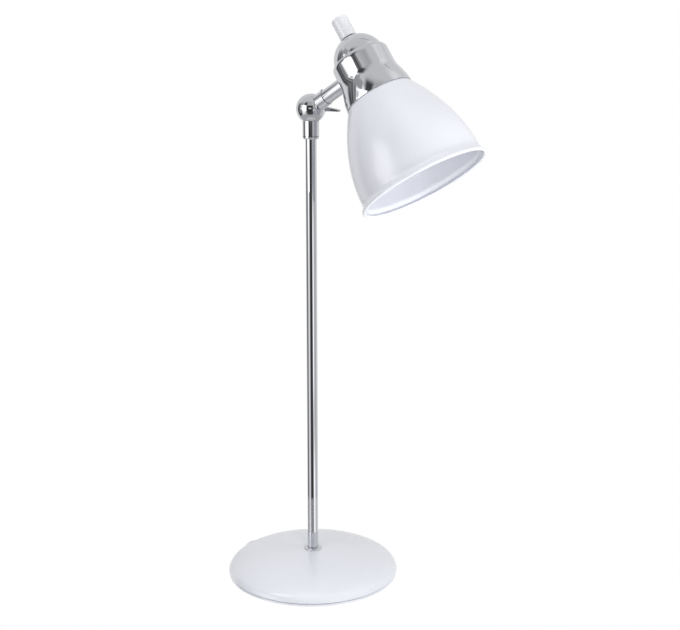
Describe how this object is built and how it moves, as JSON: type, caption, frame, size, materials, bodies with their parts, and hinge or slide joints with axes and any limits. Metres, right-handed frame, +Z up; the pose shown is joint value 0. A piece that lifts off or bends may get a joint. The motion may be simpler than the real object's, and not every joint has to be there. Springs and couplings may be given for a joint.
{
  "type": "desk lamp",
  "caption": "Desk lamp with a weighted round base, a slim pole, a swivelling ball joint clamped by a wing screw, a short arm and a bell shade.",
  "frame": {"origin": "middle of the base where it stands on the desk", "axes": "+Z up along the pole, +X towards the shade with the joints at rest, so the wing screw points along +Y"},
  "size_m": [0.2478, 0.1598, 0.5155],
  "materials": {
    "white_paint": "gloss white lacquer",
    "chrome": "polished chrome plate",
    "steel": "bright zinc plate",
    "dark_steel": "black oxide",
    "nickel": "satin",
    "iron": "as cast, thinly painted",
    "brass": "plain",
    "fibre": "hard fibre sheet",
    "foam": "fine closed-cell foam",
    "white_plastic": "moulded, gloss",
    "knob_plastic": "moulded, satin",
    "opal_glass": "opal white"
  },
  "bodies": {
    "stand": {"base_pad": "foam", "base_plate": "white_paint", "plate_screws": "steel", "base_weight": "iron", "base_shell": "white_paint", "cord_inlet_bush": "white_plastic", "pole": "chrome", "base_rosette": "chrome", "pole_washer": "steel", "pole_nut": "brass", "swivel_ring": "chrome"},
    "swivel": {"knuckle_fixed_half": "chrome", "swivel_stop_screw": "dark_steel", "tilt_stop_pin": "dark_steel", "friction_disc": "fibre"},
    "arm_head": {"knuckle_moving_half": "chrome", "clamp_washer": "steel", "sleeve_set_screw": "steel", "arm_tube": "chrome", "arm_saddle_washer": "steel", "arm_nut": "brass", "head_cap": "chrome", "shade": "white_paint", "shade_ring": "white_plastic", "lamp_holder": "white_plastic", "socket_shell": "brass", "centre_contact": "brass", "bulb_cap": "nickel", "bulb_glass": "opal_glass", "switch_body": "white_plastic", "switch_nut": "steel"},
    "clamp_screw": {"wing_screw": "chrome"},
    "knob": {"switch_spindle": "steel", "switch_knob": "knob_plastic"}
  },
  "joints": [
    {"name": "swivel", "type": "hinge", "parent": "stand", "child": "swivel", "pos_m": [0, 0, 0.4119], "axis": [0, 0, 1], "range_deg": [-160, 160]},
    {"name": "tilt", "type": "hinge", "parent": "swivel", "child": "arm_head", "pos_m": [0, 0, 0.436], "axis": [0, -1, 0], "range_deg": [-30, 60]},
    {"name": "wing_screw", "type": "hinge", "parent": "swivel", "child": "clamp_screw", "pos_m": [0, 0, 0.436], "axis": [0, 1, 0], "range_deg": [0, 270]},
    {"name": "switch_knob", "type": "hinge", "parent": "arm_head", "child": "knob", "pos_m": [0.05726, 0, 0.47041], "axis": [-0.5446, 0, 0.8387], "continuous": true}
  ]
}
